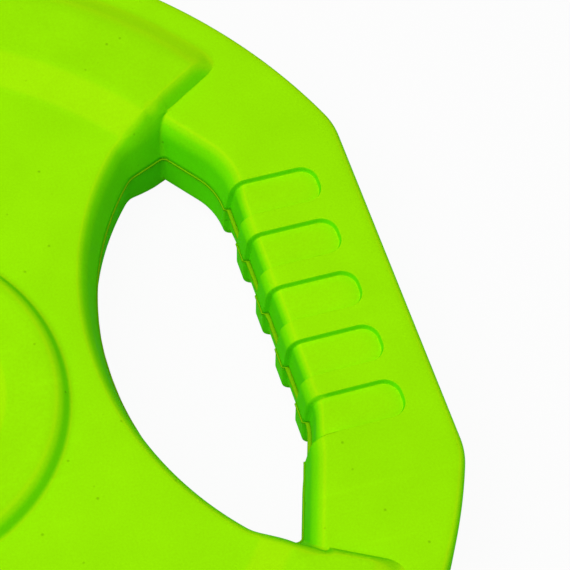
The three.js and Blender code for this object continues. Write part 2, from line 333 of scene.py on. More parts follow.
def rim_foot(walls, side):
    """Where the rim's wall passes the web's level, folded to positive y: over the opening's end,
    past its tip, along the step and round the rim's outer edge."""
    top_row = wall_rows(walls)[0][0][1] * (1, side)
    spots, by_bar, by_plate, _ = opening_columns()
    upper = spots[:, 1] * side > 0
    at_tip = (np.abs(by_bar).sum(1) > 0) & (np.abs(by_plate).sum(1) > 0) & upper
    first = np.flatnonzero(at_tip)[at_tip.sum() // 2]
    beside = np.flatnonzero((np.abs(by_plate).sum(1) > 0) & (spots[:, 0] < 86) & upper)
    over_end = top_row[beside[0]:first - 1:-1] if side > 0 else top_row[beside[-1]:first + 1]
    step_foot, step_angle = STEPS[side]
    way = facing(step_angle)
    normal = step_angle - math.pi / 2
    line = step_foot @ facing(normal)
    start = step_foot + way * (over_end[-1, 0] + 0.7 - step_foot[0]) / way[0]
    orbit = RIM_OUTER - RIM_CORNER
    corner_angle = normal + math.acos((line - RIM_CORNER) / orbit)
    corner, _ = along_arc(orbit * facing(corner_angle), RIM_CORNER, normal, corner_angle, 0.6)
    rest, _ = along_arc((0, 0), RIM_OUTER, corner_angle, THIRD / 2 + 0.2, 1.5)
    straight = start + (corner[0] - start) * np.linspace(0, 1, 30)[:-1, None]
    return np.vstack([over_end, straight, corner, rest[1:]])


def face_height(points, walls):
    """Height of the face without its pockets."""
    folded = np.c_[points[:, 0], np.abs(points[:, 1])]
    depth = np.zeros(len(points))
    within = np.zeros(len(points), bool)
    for side in (1, -1):
        here = points[:, 1] * side >= 0
        foot = rim_foot(walls, side)
        rim = np.vstack([foot, [[-20.0, 40.0], [60.0, 40.0], [84.0, 60.0]]])
        within[here] = inside_path(folded[here], rim)
        depth[here] = distance_to_path(folded[here], foot)
    depth = np.where(within, depth, 0.0)
    share = band_share(points)
    top = WEB_TOP + RAISE * share
    wall = plate_wall(folded, share, walls)
    begun, _ = reach_at(WEB_TOP, wall, top)
    low = np.full(len(points), WEB_TOP)
    high = top.copy()
    for _ in range(26):
        height = (low + high) / 2
        over = reach_at(height, wall, top)[0] - begun > depth
        low = np.where(over, low, height)
        high = np.where(over, height, high)
    t = np.clip((RIM_OUTER - np.hypot(points[:, 0], points[:, 1])) / RIM_SLOPE, 0, 1)
    height = WEB_TOP + (height - WEB_TOP) * t * t * (3 - 2 * t)
    return np.where(within, np.maximum(height, WEB_TOP), WEB_TOP)


def pocket_share(points):
    """How deep each point lies in a pocket, from 0 on the bar to 1 on a pocket's floor."""
    share = np.zeros(len(points))
    for middle in pocket_middles():
        u = points[:, 0] - (POCKET_END - POCKET_CORNER)
        v = np.abs(points[:, 1] - middle) - (POCKET_WIDTH / 2 - POCKET_CORNER)
        outside = np.hypot(np.maximum(u, 0), np.maximum(v, 0))
        gap = outside + np.minimum(np.maximum(u, v), 0) - POCKET_CORNER
        step = np.clip((POCKET_BRINK - gap) / (POCKET_BRINK - POCKET_FOOT), 0, 1)
        share = np.maximum(share, step * step * (3 - 2 * step))
    return np.where(points[:, 0] > POCKET_LIMIT, share, 0)


def lay_points(rows, keep_out, least):
    """Rows of points thinned so that no two lie closer than least, and none near keep_out."""
    points = np.vstack(rows)
    seen = {}
    for x, y in keep_out:
        seen[(round(x / least), round(y / least))] = True
    kept = []
    for x, y in points:
        key = (round(x / least), round(y / least))
        if key not in seen:
            seen[key] = True
            kept.append((x, y))
    return np.array(kept)


def third_of_face(walls):
    """The top skin of one third, between the hub's ring, the opening's edge and the rim's edge."""
    rows, _ = wall_rows(walls)
    hole = rows[0][1]
    edge_spots, edge_ways = edge_columns()
    edge = edge_spots + EDGE_BAND * edge_ways
    ring_angles = np.linspace(-THIRD / 2, THIRD / 2, HUB_STEPS // 3 + 1)
    ring = HUB_RING * np.c_[np.cos(ring_angles), np.sin(ring_angles)]
    marks = [BAND_INNER, BAND_OUTER, RIM_OUTER, RIM_OUTER - RIM_WALL]
    outer = EDGE_RADIUS - EDGE_BAND
    radii = list(np.linspace(HUB_RING, outer, 34)[1:-1])
    band_steps = (-2.6, -1.7, -1.1, -0.6, -0.2, 0.2, 0.6, 1.1, 1.7, 2.6)
    for mark in marks:
        radii = [r for r in radii if abs(r - mark) > band_steps[-1]]
    for mark in marks[:2]:
        radii += [mark + step for step in band_steps]
    foot_steps = (
        -0.9, -0.35, -0.12, 0.0, 0.06, 0.16, 0.32, 0.55, 0.9, 1.35, 1.9, 2.6, 3.4, 4.2, 5.0, 6.2, 7.6, 9.2)
    radii += [RIM_OUTER - step for step in foot_steps]
    radii = sorted(radii)
    seam = np.array([r * facing(THIRD / 2) for r in radii])
    lower_seam = seam * (1, -1)

    # rows along the band's two edges, the rim's foot and the pockets
    rows = []
    turns = np.arange(-THIRD / 2, THIRD / 2, math.radians(1.3))[1:]
    turns = turns[np.abs(turns) > math.radians(31)]
    for mark in marks[:2]:
        for step in band_steps:
            rows.append((mark + step) * np.c_[np.cos(turns), np.sin(turns)])
    for side in (1, -1):
        foot = rim_foot(walls, side)
        run = np.gradient(foot, axis=0)
        run /= np.linalg.norm(run, axis=1)[:, None]
        inward = np.c_[-run[:, 1], run[:, 0]]
        rows += [(foot + inward * step) * (1, side) for step in foot_steps]
    start = BAR_INNER + walls["bar"][0] + walls["bar"][2]
    for middle in pocket_middles():
        straight = np.linspace(start, POCKET_END - POCKET_CORNER, 12)[1:]
        turn = np.linspace(0, math.pi / 2, 9)[:-1]
        offset = POCKET_WIDTH / 2 - POCKET_CORNER
        for step in POCKET_ROWS:
            radius = POCKET_CORNER + step
            side = np.c_[straight, np.full(len(straight), offset + radius)]
            corner = np.c_[
                POCKET_END - POCKET_CORNER + radius * np.cos(turn), offset + radius * np.sin(turn)]
            half = np.vstack([side, corner])
            rows += [half + (0, middle), half * (1, -1) + (0, middle)]
    fixed = np.vstack([ring, seam, lower_seam, hole, edge])
    features = lay_points(rows, fixed, 0.1)

    # even points on what is left
    pitch = 3.4
    xs = np.arange(20, 160, pitch)
    ys = np.arange(-150, 150, pitch * math.sqrt(3) / 2)
    grid = np.array([(x + (i % 2) * pitch / 2, y) for i, y in enumerate(ys) for x in xs])
    near = np.full(len(grid), 1e9)
    crowd = np.vstack([fixed, features])
    for at in range(0, len(grid), 400):
        gap = grid[at:at + 400, None, :] - crowd[None]
        near[at:at + 400] = np.sqrt((gap ** 2).sum(2).min(1))
    grid = grid[near > pitch * 0.62]
    loose = np.vstack([features, grid])
    angle = np.abs(np.arctan2(loose[:, 1], loose[:, 0]))
    radius = np.hypot(loose[:, 0], loose[:, 1])
    keep = (angle < THIRD / 2 - 0.25 / radius) & (radius > HUB_RING + 0.6)
    keep &= ~inside_path(loose, hole) & (distance_to_path(loose, np.vstack([hole, hole[:1]])) > 0.16)
    keep &= inside_path(loose, np.vstack([edge, [[0.0, 0.0]]])) & (distance_to_path(loose, edge) > 0.3)
    loose = loose[keep]

    everything = np.vstack([ring, seam, lower_seam, hole, edge, loose])
    sizes = np.cumsum([0, len(ring), len(seam), len(lower_seam), len(hole), len(edge)])
    lines = [(i, i + 1) for i in range(sizes[0], sizes[1] - 1)]
    for start_at, end_at, ring_at, edge_at in (
            (sizes[1], sizes[2], sizes[1] - 1, sizes[5] - 1), (sizes[2], sizes[3], 0, sizes[4])):
        lines.append((ring_at, start_at))
        lines += [(i, i + 1) for i in range(start_at, end_at - 1)]
        lines.append((end_at - 1, edge_at))
    lines += [(i, i + 1) for i in range(sizes[3], sizes[4] - 1)] + [(sizes[4] - 1, sizes[3])]
    lines += [(i, i + 1) for i in range(sizes[4], sizes[5] - 1)]
    corners, _, faces, _, _, _ = delaunay_2d_cdt(
        [Vector(p) for p in everything], [(int(a), int(b)) for a, b in lines], [], 0, 1e-5)
    corners = np.array([tuple(c) for c in corners])
    faces = np.array(faces)
    middle = corners[faces].mean(1)
    boundary = np.vstack([ring, seam, edge[::-1], lower_seam[::-1]])
    keep = inside_path(middle, boundary) & ~inside_path(middle, hole)
    on_seam = np.abs(np.abs(np.arctan2(corners[:, 1], corners[:, 0])) - THIRD / 2) < 1e-5
    keep &= ~on_seam[faces].all(1)
    faces = faces[keep]
    a, b, c = (corners[faces[:, i]] for i in range(3))
    area = (b[:, 0] - a[:, 0]) * (c[:, 1] - a[:, 1]) - (b[:, 1] - a[:, 1]) * (c[:, 0] - a[:, 0])
    faces[area < 0] = faces[area < 0][:, ::-1]
    height = face_height(corners, walls)
    height[distance_to_path(corners, np.vstack([hole, hole[:1]])) < 1e-4] = WEB_TOP
    return np.c_[corners, height - POCKET_DEPTH * pocket_share(corners)], faces


def opening_wall(walls):
    """The rounded edge and wall of one opening, from the face down to the parting line."""
    rows, by_bar = wall_rows(walls)
    corners = []
    for level, plan, sine in rows:
        sink = POCKET_DEPTH * pocket_share(plan)
        moved = plan + by_bar * (sink * np.sqrt(1 - sine ** 2))[:, None]
        corners.append(np.c_[moved, level - sink * sine])
    count = len(by_bar)
    faces = []
    for row in range(len(rows) - 1):
        for i in range(count):
            j = (i + 1) % count
            faces.append((
                row * count + i, row * count + j, (row + 1) * count + j, (row + 1) * count + i))
    return np.vstack(corners), faces


def edge_wall():
    """The plate's outer edge over one third, from the face down to the parting line."""
    spots, ways = edge_columns()
    rows = [(EDGE_BAND, WEB_TOP)]
    for turn in np.radians([90, 80, 70, 60, 50, 40, 30, 20, 10, 0]):
        across = max(math.cos(turn), 0) ** (2 / EDGE_POWER)
        along = math.sin(turn) ** (2 / EDGE_POWER)
        rows.append((
            EDGE_DRAFT + EDGE_ROUND * (1 - across), EDGE_BREAK + (WEB_TOP - EDGE_BREAK) * along))
    for share in (0.6, 0.25, 0.0):
        rows.append((WALL_FOOT + (EDGE_DRAFT - WALL_FOOT) * share, EDGE_BREAK * share))
    count = len(spots)
    corners = [np.c_[spots + ways * offset, np.full(count, height)] for offset, height in rows]
    faces = []
    for row in range(len(rows) - 1):
        for i in range(count - 1):
            faces.append((
                row * count + i, (row + 1) * count + i, (row + 1) * count + i + 1, row * count + i + 1))
    return np.vstack(corners), faces


def hub_skin():
    """The hub's raised ring and its mouth round the sleeve."""
    angles = np.linspace(0, 2 * math.pi, HUB_STEPS, endpoint=False)
    corners = np.vstack([
        np.c_[r * np.cos(angles), r * np.sin(angles), np.full(HUB_STEPS, z)] for r, z in HUB_PROFILE])
    faces = []
    for row in range(len(HUB_PROFILE) - 1):
        for i in range(HUB_STEPS):
            j = (i + 1) % HUB_STEPS
            faces.append((
                row * HUB_STEPS + i, row * HUB_STEPS + j,
                (row + 1) * HUB_STEPS + j, (row + 1) * HUB_STEPS + i))
    return corners, faces


def add_patch(work, corners, faces, turn=0.0):
    spin = Matrix.Rotation(turn, 3, "Z")
    made = [work.verts.new(spin @ Vector(c) * MM) for c in corners]
    for face in faces:
        loop = [made[i] for i in face]
        if len(set(loop)) == len(loop):
            work.faces.new(loop)


def add_hollow(work):
    """The inside of the half, where the iron sits, as the solid model has it."""
    inner = bmesh.new()
    inner.from_mesh(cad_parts["front_cover"].data)
    bmesh.ops.remove_doubles(inner, verts=inner.verts, dist=1e-6)
    inner.normal_update()
    gone = [f for f in inner.faces if all(abs(v.co.z) < 1e-6 for v in f.verts)]
    gone += [f for f in inner.faces if all(
        v.co.z > 0.0152 and v.co.xy.length < 0.0373 for v in f.verts)]
    bmesh.ops.delete(inner, geom=list(set(gone)), context="FACES")
    inner.faces.ensure_lookup_table()
    roof = [f for f in inner.faces if f.normal.z < -0.9 and f.calc_center_median().z < 0.0125]
    reached = set(roof)
    queue = list(roof)
    while queue:
        for edge in queue.pop().edges:
            for other in edge.link_faces:
                if other not in reached:
                    reached.add(other)
                    queue.append(other)
    copies = {}
    for face in reached:
        loop = []
        for v in face.verts:
            if v not in copies:
                copies[v] = work.verts.new(v.co)
            loop.append(copies[v])
        work.faces.new(loop)
    inner.free()


def close_mouth(work):
    """Joins the mouth's last ring to the hollow's hole, which has fewer corners."""
    open_edges = [e for e in work.edges if len(e.link_faces) == 1]
    rim = {v for e in open_edges for v in e.verts if v.co.xy.length < 0.033}

    def turn(v):
        return math.atan2(v.co.y, v.co.x) % (2 * math.pi)

    low = sorted((v for v in rim if 0.0150 < v.co.z < 0.0156), key=turn)
    high = sorted((v for v in rim if 0.0157 < v.co.z < 0.0165), key=turn)
    links = []
    for v in high:
        gaps = [abs(math.remainder(turn(v) - turn(w), 2 * math.pi)) for w in low]
        links.append(gaps.index(min(gaps)))
    for i, v in enumerate(high):
        j = (i + 1) % len(high)
        work.faces.new((v, high[j], low[links[i]]))
        if links[j] != links[i]:
            work.faces.new((high[j], low[links[j]], low[links[i]]))


def close_joint(work):
    """Fills the flat joint at the parting line between the outer and inner outlines."""
    open_edges = [e for e in work.edges if len(e.link_faces) == 1]
    open_edges = [e for e in open_edges if all(abs(v.co.z) < 1e-6 for v in e.verts)]
    corners = list({v for e in open_edges for v in e.verts})
    place = {v: i for i, v in enumerate(corners)}
    flat = (np.array([(v.co.x, v.co.y) for v in corners]) / MM).astype(np.float32).astype(float)
    lines = [(place[e.verts[0]], place[e.verts[1]]) for e in open_edges]
    out, _, faces, origins, _, _ = delaunay_2d_cdt([Vector(p) for p in flat], lines, [], 0, 1e-5)
    out = np.array([tuple(p) for p in out])
    a = flat[[l[0] for l in lines]]
    b = flat[[l[1] for l in lines]]
    for face in faces:
        x, y = out[list(face)].mean(0)
        spans = (a[:, 1] > y) != (b[:, 1] > y)
        rise = np.where(b[:, 1] == a[:, 1], 1e-12, b[:, 1] - a[:, 1])
        crossings = (spans & (x < a[:, 0] + (y - a[:, 1]) * (b[:, 0] - a[:, 0]) / rise)).sum()
        if crossings % 2 == 1:
            loop = [corners[origins[i][0]] for i in face]
            if len(set(loop)) == 3:
                work.faces.new(loop)


def rubber_half(name, side, walls):
    work = bmesh.new()
    face = third_of_face(walls)
    wall = opening_wall(walls)
    edge = edge_wall()
    for third in range(3):
        for corners, faces in (face, wall, edge):
            add_patch(work, corners, faces, third * THIRD)
    add_patch(work, *hub_skin())
    add_hollow(work)
    bmesh.ops.remove_doubles(work, verts=work.verts, dist=6e-6)
    close_mouth(work)
    close_joint(work)
    bmesh.ops.recalc_face_normals(work, faces=work.faces)
    if side < 0:
        for v in work.verts:
            v.co.z = -v.co.z
        bmesh.ops.reverse_faces(work, faces=work.faces)
    mesh = bpy.data.meshes.new(name)
    work.to_mesh(mesh)
    work.free()
    mesh.shade_smooth()
    piece = bpy.data.objects.new(name, mesh)
    bpy.context.scene.collection.objects.link(piece)
    return piece


class Paint:
    """A material whose patterns are fixed to the piece, and the nodes that make them."""

    def __init__(self, name, seed):
        self.material = bpy.data.materials.new(name)
        self.material.use_nodes = True
        self.tree = self.material.node_tree
        self.shader = self.tree.nodes["Principled BSDF"]
        self.coords = self.new("ShaderNodeTexCoord")
        self.seed = seed

    def new(self, kind):
        return self.tree.nodes.new(kind)

    def link(self, source, socket):
        self.tree.links.new(source, socket)

    def noise(self, scale, detail, shift, turn=0.0, stretch=(1, 1, 1), source=None):
        mapping = self.new("ShaderNodeMapping")
        mapping.inputs["Rotation"].default_value = (0, 0, turn)
        mapping.inputs["Scale"].default_value = stretch
        self.link(source or self.coords.outputs["Object"], mapping.inputs["Vector"])
        node = self.new("ShaderNodeTexNoise")
        node.noise_dimensions = "4D"
        node.inputs["Scale"].default_value = scale
        node.inputs["Detail"].default_value = detail
        node.inputs["W"].default_value = self.seed + shift
        self.link(mapping.outputs["Vector"], node.inputs["Vector"])
        return node.outputs["Fac"]

    def spread(self, value, low, high, new_low, new_high):
        node = self.new("ShaderNodeMapRange")
        node.clamp = True
        sockets = ("From Min", "From Max", "To Min", "To Max")
        for socket, number in zip(sockets, (low, high, new_low, new_high)):
            node.inputs[socket].default_value = number
        self.link(value, node.inputs["Value"])
        return node.outputs["Result"]

    def sum(self, operation, a, b):
        node = self.new("ShaderNodeMath")
        node.operation = operation
        for socket, value in zip(node.inputs, (a, b)):
            if isinstance(value, (int, float)):
                socket.default_value = value
            else:
                self.link(value, socket)
        return node.outputs["Value"]

    def ramp(self, value, stops):
        node = self.new("ShaderNodeValToRGB")
        node.color_ramp.interpolation = "EASE"
        elements = node.color_ramp.elements
        elements[0].position = stops[0][0]
        elements[1].position = stops[-1][0]
        for position, _ in stops[1:-1]:
            elements.new(position)
        for element, (_, colour) in zip(elements, stops):
            element.color = (*colour, 1)
        self.link(value, node.inputs["Fac"])
        return node.outputs["Color"]

    def colour(self, colour, brightness):
        tint = self.new("ShaderNodeMix")
        tint.data_type = "RGBA"
        tint.blend_type = "MULTIPLY"
        tint.inputs["Factor"].default_value = 1.0
        grey = self.new("ShaderNodeCombineColor")
        for channel in ("Red", "Green", "Blue"):
            self.link(brightness, grey.inputs[channel])
        self.link(colour, tint.inputs[6])
        self.link(grey.outputs["Color"], tint.inputs[7])
        self.link(tint.outputs[2], self.shader.inputs["Base Color"])

    def bump(self, height, strength, distance):
        node = self.new("ShaderNodeBump")
        node.inputs["Strength"].default_value = strength
        node.inputs["Distance"].default_value = distance
        self.link(height, node.inputs["Height"])
        self.link(node.outputs["Normal"], self.shader.inputs["Normal"])


def rubber_material(name, seed, shade=1.0):
    """Matt lime rubber: clouded colour, fine grain, dark specks, faint rubbed lines and dimples.
    Painted shade and highlight: upright walls are painted darker and greener, and faces tilted a little
    are painted lighter and yellower, by which way the surface faces."""
    paint = Paint(name, seed)
    paint.shader.inputs["Specular IOR Level"].default_value = 0.003

    # painted shade and highlight: colour by how upright the surface stands, darker and greener on walls,
    # lighter and yellower where the face tilts a little
    split = paint.new("ShaderNodeSeparateXYZ")
    paint.link(paint.coords.outputs["Normal"], split.inputs["Vector"])
    base = paint.ramp(paint.sum("ABSOLUTE", split.outputs["Z"], 0.0), (
        (0.0, (0.10, 0.74, 0.001)), (0.55, (0.175, 0.76, 0.001)), (0.80, (0.285, 0.785, 0.0012)),
        (0.915, (0.36, 0.80, 0.0014)), (0.985, (0.305, 0.785, 0.0012))))

    # brightness: clouds, mottling, grain and rubbed lines
    clouds = paint.spread(paint.noise(9, 3, 0.0), 0.3, 0.7, 0.965, 1.03)
    mottle = paint.spread(paint.noise(60, 5, 1.3), 0.3, 0.7, 0.965, 1.03)
    grain = paint.spread(paint.noise(1500, 3, 2.1), 0.25, 0.75, 0.95, 1.045)
    rubbed = paint.spread(paint.noise(26, 2, 3.7, 0.6, (1, 9, 1)), 0.62, 0.74, 1.0, 1.035)
    light = paint.sum(
        "MULTIPLY", paint.sum("MULTIPLY", clouds, mottle), paint.sum("MULTIPLY", grain, rubbed))

    # dark specks in one cell of eight
    cells = paint.new("ShaderNodeTexVoronoi")
    cells.voronoi_dimensions = "3D"
    cells.inputs["Scale"].default_value = 230
    paint.link(paint.coords.outputs["Object"], cells.inputs["Vector"])
    pick = paint.new("ShaderNodeSeparateColor")
    paint.link(cells.outputs["Color"], pick.inputs["Color"])
    chosen = paint.sum("GREATER_THAN", pick.outputs["Red"], 0.88)
    near = paint.spread(cells.outputs["Distance"], 0.05, 0.13, 1.0, 0.0)
    speck = paint.sum("MULTIPLY", chosen, near)
    # shade scales the whole colour down; below 1 it is painted shade
    light = paint.sum("MULTIPLY", light, paint.spread(speck, 0.0, 1.0, shade, shade * 0.72))
    paint.colour(base, light)
    rough = paint.spread(paint.noise(140, 4, 5.2), 0.3, 0.7, 0.46, 0.6)
    paint.link(rough, paint.shader.inputs["Roughness"])

    # fine grain, shallow waves and the specks' pits
    fine = paint.sum("MULTIPLY", paint.noise(1900, 3, 6.4), 0.10)
    waves = paint.sum("MULTIPLY", paint.noise(150, 3, 7.9), 0.9)
    height = paint.sum("SUBTRACT", paint.sum("ADD", fine, waves), paint.sum("MULTIPLY", speck, 0.35))
    paint.bump(height, 0.6, 0.00022)
    return paint.material


front_cover = rubber_half("front_rubber", 1, FRONT_WALLS)
front_cover.data.materials.append(rubber_material("lime rubber, front", 3.0))
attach(front_cover, "root")
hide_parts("front_cover")


# Back half of the rubber skin, pressed from a second sheet in the same mould and cured to the
# front half along the parting line. It is the front half turned over, with steeper walls and
# tighter edges in the grip openings.

back_cover = rubber_half("back_rubber", -1, BACK_WALLS)
back_cover.data.materials.append(rubber_material("lime rubber, back", 7.0))
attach(back_cover, "root")
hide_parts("back_cover")


# Flash of the moulding: the thin skin of rubber squeezed out between the two mould halves round
# each grip opening and trimmed by hand. It bridges the finger pockets and is nicked here and there.

FLASH_THICKNESS = 0.5
FLASH_ROOT = 0.5
FLASH_REACH = 0.22
FLASH_BRIDGE = 0.45


def flash_outlines():
    """The openings' outlines sunk into the rubber, with the way inward and the reach of each
    point's flash."""
    spots = opening_columns()[0]
    sink = POCKET_DEPTH * pocket_share(spots)
    along = np.roll(spots, -1, axis=0) - np.roll(spots, 1, axis=0)
    along /= np.linalg.norm(along, axis=1)[:, None]
    inward = np.c_[-along[:, 1], along[:, 0]]
    corners = []
    ways = []
    reaches = []
    lines = []
    for third in range(3):
        turn = np.array([[math.cos(third * THIRD), -math.sin(third * THIRD)],
                         [math.sin(third * THIRD), math.cos(third * THIRD)]])
        start = len(corners)
        corners += list((spots - inward * (FLASH_ROOT + sink)[:, None]) @ turn.T)
        ways += list(inward @ turn.T)
        reaches += list(FLASH_ROOT + FLASH_BRIDGE * sink + FLASH_REACH)
        lines += [(start + i, start + (i + 1) % len(spots)) for i in range(len(spots))]
    return np.array(corners), np.array(ways), np.array(reaches), lines


def flash_tree(material):
    """Nodes that draw the flash out of its root line, with an uneven trimmed edge."""
    tree = bpy.data.node_groups.new("trimmed flash", "GeometryNodeTree")
    sockets = tree.interface
    sockets.new_socket("Geometry", in_out="INPUT", socket_type="NodeSocketGeometry")
    wanted = {}
    for name, value in (
            ("Thickness", FLASH_THICKNESS * MM), ("Unevenness", 0.35), ("Wave Scale", 95.0),
            ("Nick Depth", 0.75), ("Nick Scale", 420.0), ("Seed", 4.0)):
        socket = sockets.new_socket(name, in_out="INPUT", socket_type="NodeSocketFloat")
        wanted[socket.identifier] = value
    sockets.new_socket("Geometry", in_out="OUTPUT", socket_type="NodeSocketGeometry")
    given = tree.nodes.new("NodeGroupInput")
    result = tree.nodes.new("NodeGroupOutput")

    def attribute(name, kind):
        node = tree.nodes.new("GeometryNodeInputNamedAttribute")
        node.data_type = kind
        node.inputs["Name"].default_value = name
        return node.outputs["Attribute"]

    def noise(scale, detail):
        node = tree.nodes.new("ShaderNodeTexNoise")
        node.noise_dimensions = "4D"
        node.inputs["Detail"].default_value = detail
        tree.links.new(given.outputs[scale], node.inputs["Scale"])
        tree.links.new(given.outputs["Seed"], node.inputs["W"])
        return node.outputs["Fac"]

    def sum_of(operation, a, b):
        node = tree.nodes.new("ShaderNodeMath")
        node.operation = operation
        for socket, value in zip(node.inputs, (a, b)):
            if isinstance(value, (int, float)):
                socket.default_value = value
            else:
                tree.links.new(value, socket)
        return node.outputs["Value"]

    def upward(amount):
        node = tree.nodes.new("ShaderNodeCombineXYZ")
        tree.links.new(amount, node.inputs["Z"])
        return node.outputs["Vector"]

    # how far each point is drawn out: its own reach, a slow wave and sharp nicks
    wave = sum_of("SUBTRACT", noise("Wave Scale", 3.0), 0.5)
    wave = sum_of("MULTIPLY", wave, given.outputs["Unevenness"])
    nick = sum_of("MAXIMUM", sum_of("SUBTRACT", noise("Nick Scale", 0.0), 0.7), 0.0)
    nick = sum_of("MULTIPLY", sum_of("MULTIPLY", nick, 6.0), given.outputs["Nick Depth"])
    drawn = sum_of("MULTIPLY", sum_of("SUBTRACT", wave, nick), MM)
    drawn = sum_of("ADD", attribute("reach", "FLOAT"), drawn)
    drawn = sum_of("MAXIMUM", drawn, (FLASH_ROOT + 0.12) * MM)
    way = tree.nodes.new("ShaderNodeVectorMath")
    way.operation = "SCALE"
    tree.links.new(attribute("inward", "FLOAT_VECTOR"), way.inputs[0])
    tree.links.new(drawn, way.inputs["Scale"])

    ribbon = tree.nodes.new("GeometryNodeExtrudeMesh")
    ribbon.mode = "EDGES"
    tree.links.new(given.outputs["Geometry"], ribbon.inputs["Mesh"])
    tree.links.new(way.outputs["Vector"], ribbon.inputs["Offset"])
    lower = tree.nodes.new("GeometryNodeSetPosition")
    tree.links.new(ribbon.outputs["Mesh"], lower.inputs["Geometry"])
    tree.links.new(upward(sum_of("MULTIPLY", given.outputs["Thickness"], -0.5)), lower.inputs["Offset"])
    raised = tree.nodes.new("GeometryNodeExtrudeMesh")
    raised.mode = "FACES"
    raised.inputs["Individual"].default_value = False
    tree.links.new(lower.outputs["Geometry"], raised.inputs["Mesh"])
    tree.links.new(upward(given.outputs["Thickness"]), raised.inputs["Offset"])
    flipped = tree.nodes.new("GeometryNodeFlipFaces")
    tree.links.new(lower.outputs["Geometry"], flipped.inputs["Mesh"])
    joined = tree.nodes.new("GeometryNodeJoinGeometry")
    tree.links.new(raised.outputs["Mesh"], joined.inputs["Geometry"])
    tree.links.new(flipped.outputs["Mesh"], joined.inputs["Geometry"])
    merged = tree.nodes.new("GeometryNodeMergeByDistance")
    merged.inputs["Distance"].default_value = 1e-6
    tree.links.new(joined.outputs["Geometry"], merged.inputs["Geometry"])
    real = tree.nodes.new("GeometryNodeRealizeInstances")
    tree.links.new(merged.outputs["Geometry"], real.inputs["Geometry"])
    painted = tree.nodes.new("GeometryNodeSetMaterial")
    painted.inputs["Material"].default_value = material
    tree.links.new(real.outputs["Geometry"], painted.inputs["Geometry"])
    tree.links.new(painted.outputs["Geometry"], result.inputs["Geometry"])
    return tree, wanted


def trimmed_flash(material):
    corners, ways, reaches, lines = flash_outlines()
    root = bpy.data.meshes.new("flash_root")
    root.from_pydata([(x * MM, y * MM, 0) for x, y in corners], lines, [])
    inward = root.attributes.new("inward", "FLOAT_VECTOR", "POINT")
    inward.data.foreach_set("vector", np.c_[ways, np.zeros(len(ways))].ravel())
    reach = root.attributes.new("reach", "FLOAT", "POINT")
    reach.data.foreach_set("value", reaches * MM)
    source = bpy.data.objects.new("flash_source", root)
    bpy.context.scene.collection.objects.link(source)
    tree, wanted = flash_tree(material)
    drawing = source.modifiers.new("flash", "NODES")
    drawing.node_group = tree
    for identifier, value in wanted.items():
        drawing[identifier] = value
    depsgraph = bpy.context.evaluated_depsgraph_get()
    mesh = bpy.data.meshes.new_from_object(source.evaluated_get(depsgraph))
    mesh.name = "moulding_flash"
    source.modifiers.remove(drawing)
    bpy.data.objects.remove(source)
    work = bmesh.new()
    work.from_mesh(mesh)
    bmesh.ops.recalc_face_normals(work, faces=work.faces)
    work.to_mesh(mesh)
    work.free()
    piece = bpy.data.objects.new("moulding_flash", mesh)
    bpy.context.scene.collection.objects.link(piece)
    return piece


# the flash's rubber is painted darker (shade 0.6), a painted shade
flash = trimmed_flash(rubber_material("lime rubber, flash", 11.0, 0.6))
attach(flash, "root")


# Iron core, cast in sand in one piece and left rough, because the rubber covers all of it.

def iron_material():
    """Sand-cast iron: dark grey, mottled with rust, grainy all over."""
    paint = Paint("sand-cast iron", 5.0)
    paint.shader.inputs["Metallic"].default_value = 0.85
    paint.shader.inputs["Specular IOR Level"].default_value = 0.4
    rust = paint.spread(paint.noise(38, 6, 0.4), 0.52, 0.68, 0.0, 1.0)
    base = paint.ramp(rust, (
        (0.0, (0.085, 0.083, 0.082)), (0.45, (0.11, 0.095, 0.085)), (1.0, (0.17, 0.085, 0.045))))
    grain = paint.spread(paint.noise(900, 4, 1.7), 0.3, 0.7, 0.82, 1.15)
    stain = paint.spread(paint.noise(14, 3, 2.6), 0.3, 0.7, 0.88, 1.08)
    paint.colour(base, paint.sum("MULTIPLY", grain, stain))
    paint.link(paint.spread(rust, 0.0, 1.0, 0.55, 0.85), paint.shader.inputs["Roughness"])
    sand = paint.sum("MULTIPLY", paint.noise(700, 5, 3.9), 0.6)
    paint.bump(paint.sum("ADD", sand, paint.sum("MULTIPLY", paint.noise(60, 3, 4.4), 0.7)), 0.8, 0.0005)
    return paint.material


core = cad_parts["core"]
core.data.materials.clear()
core.data.materials.append(iron_material())


# Steel sleeve that the bar runs through, turned from tube, chamfered inside and out at both ends
# and pressed into the iron.

SLEEVE_PROFILE = (
    (31.0, -15.6), (31.0, -8.0), (31.0, 0.0), (31.0, 8.0), (31.0, 15.6), (30.93, 15.78),
    (30.2, 16.42), (30.0, 16.5), (29.6, 16.5), (28.15, 16.47), (26.7, 16.5), (26.35, 16.5),
    (26.15, 16.42),
    (25.37, 15.74), (25.3, 15.55), (25.3, 8.0), (25.3, 0.0), (25.3, -8.0), (25.3, -15.55),
    (25.37, -15.74), (26.15, -16.42), (26.35, -16.5), (26.7, -16.5), (28.15, -16.47), (29.6, -16.5),
    (30.0, -16.5), (30.2, -16.42), (30.93, -15.78),
)
SLEEVE_STEPS = 240


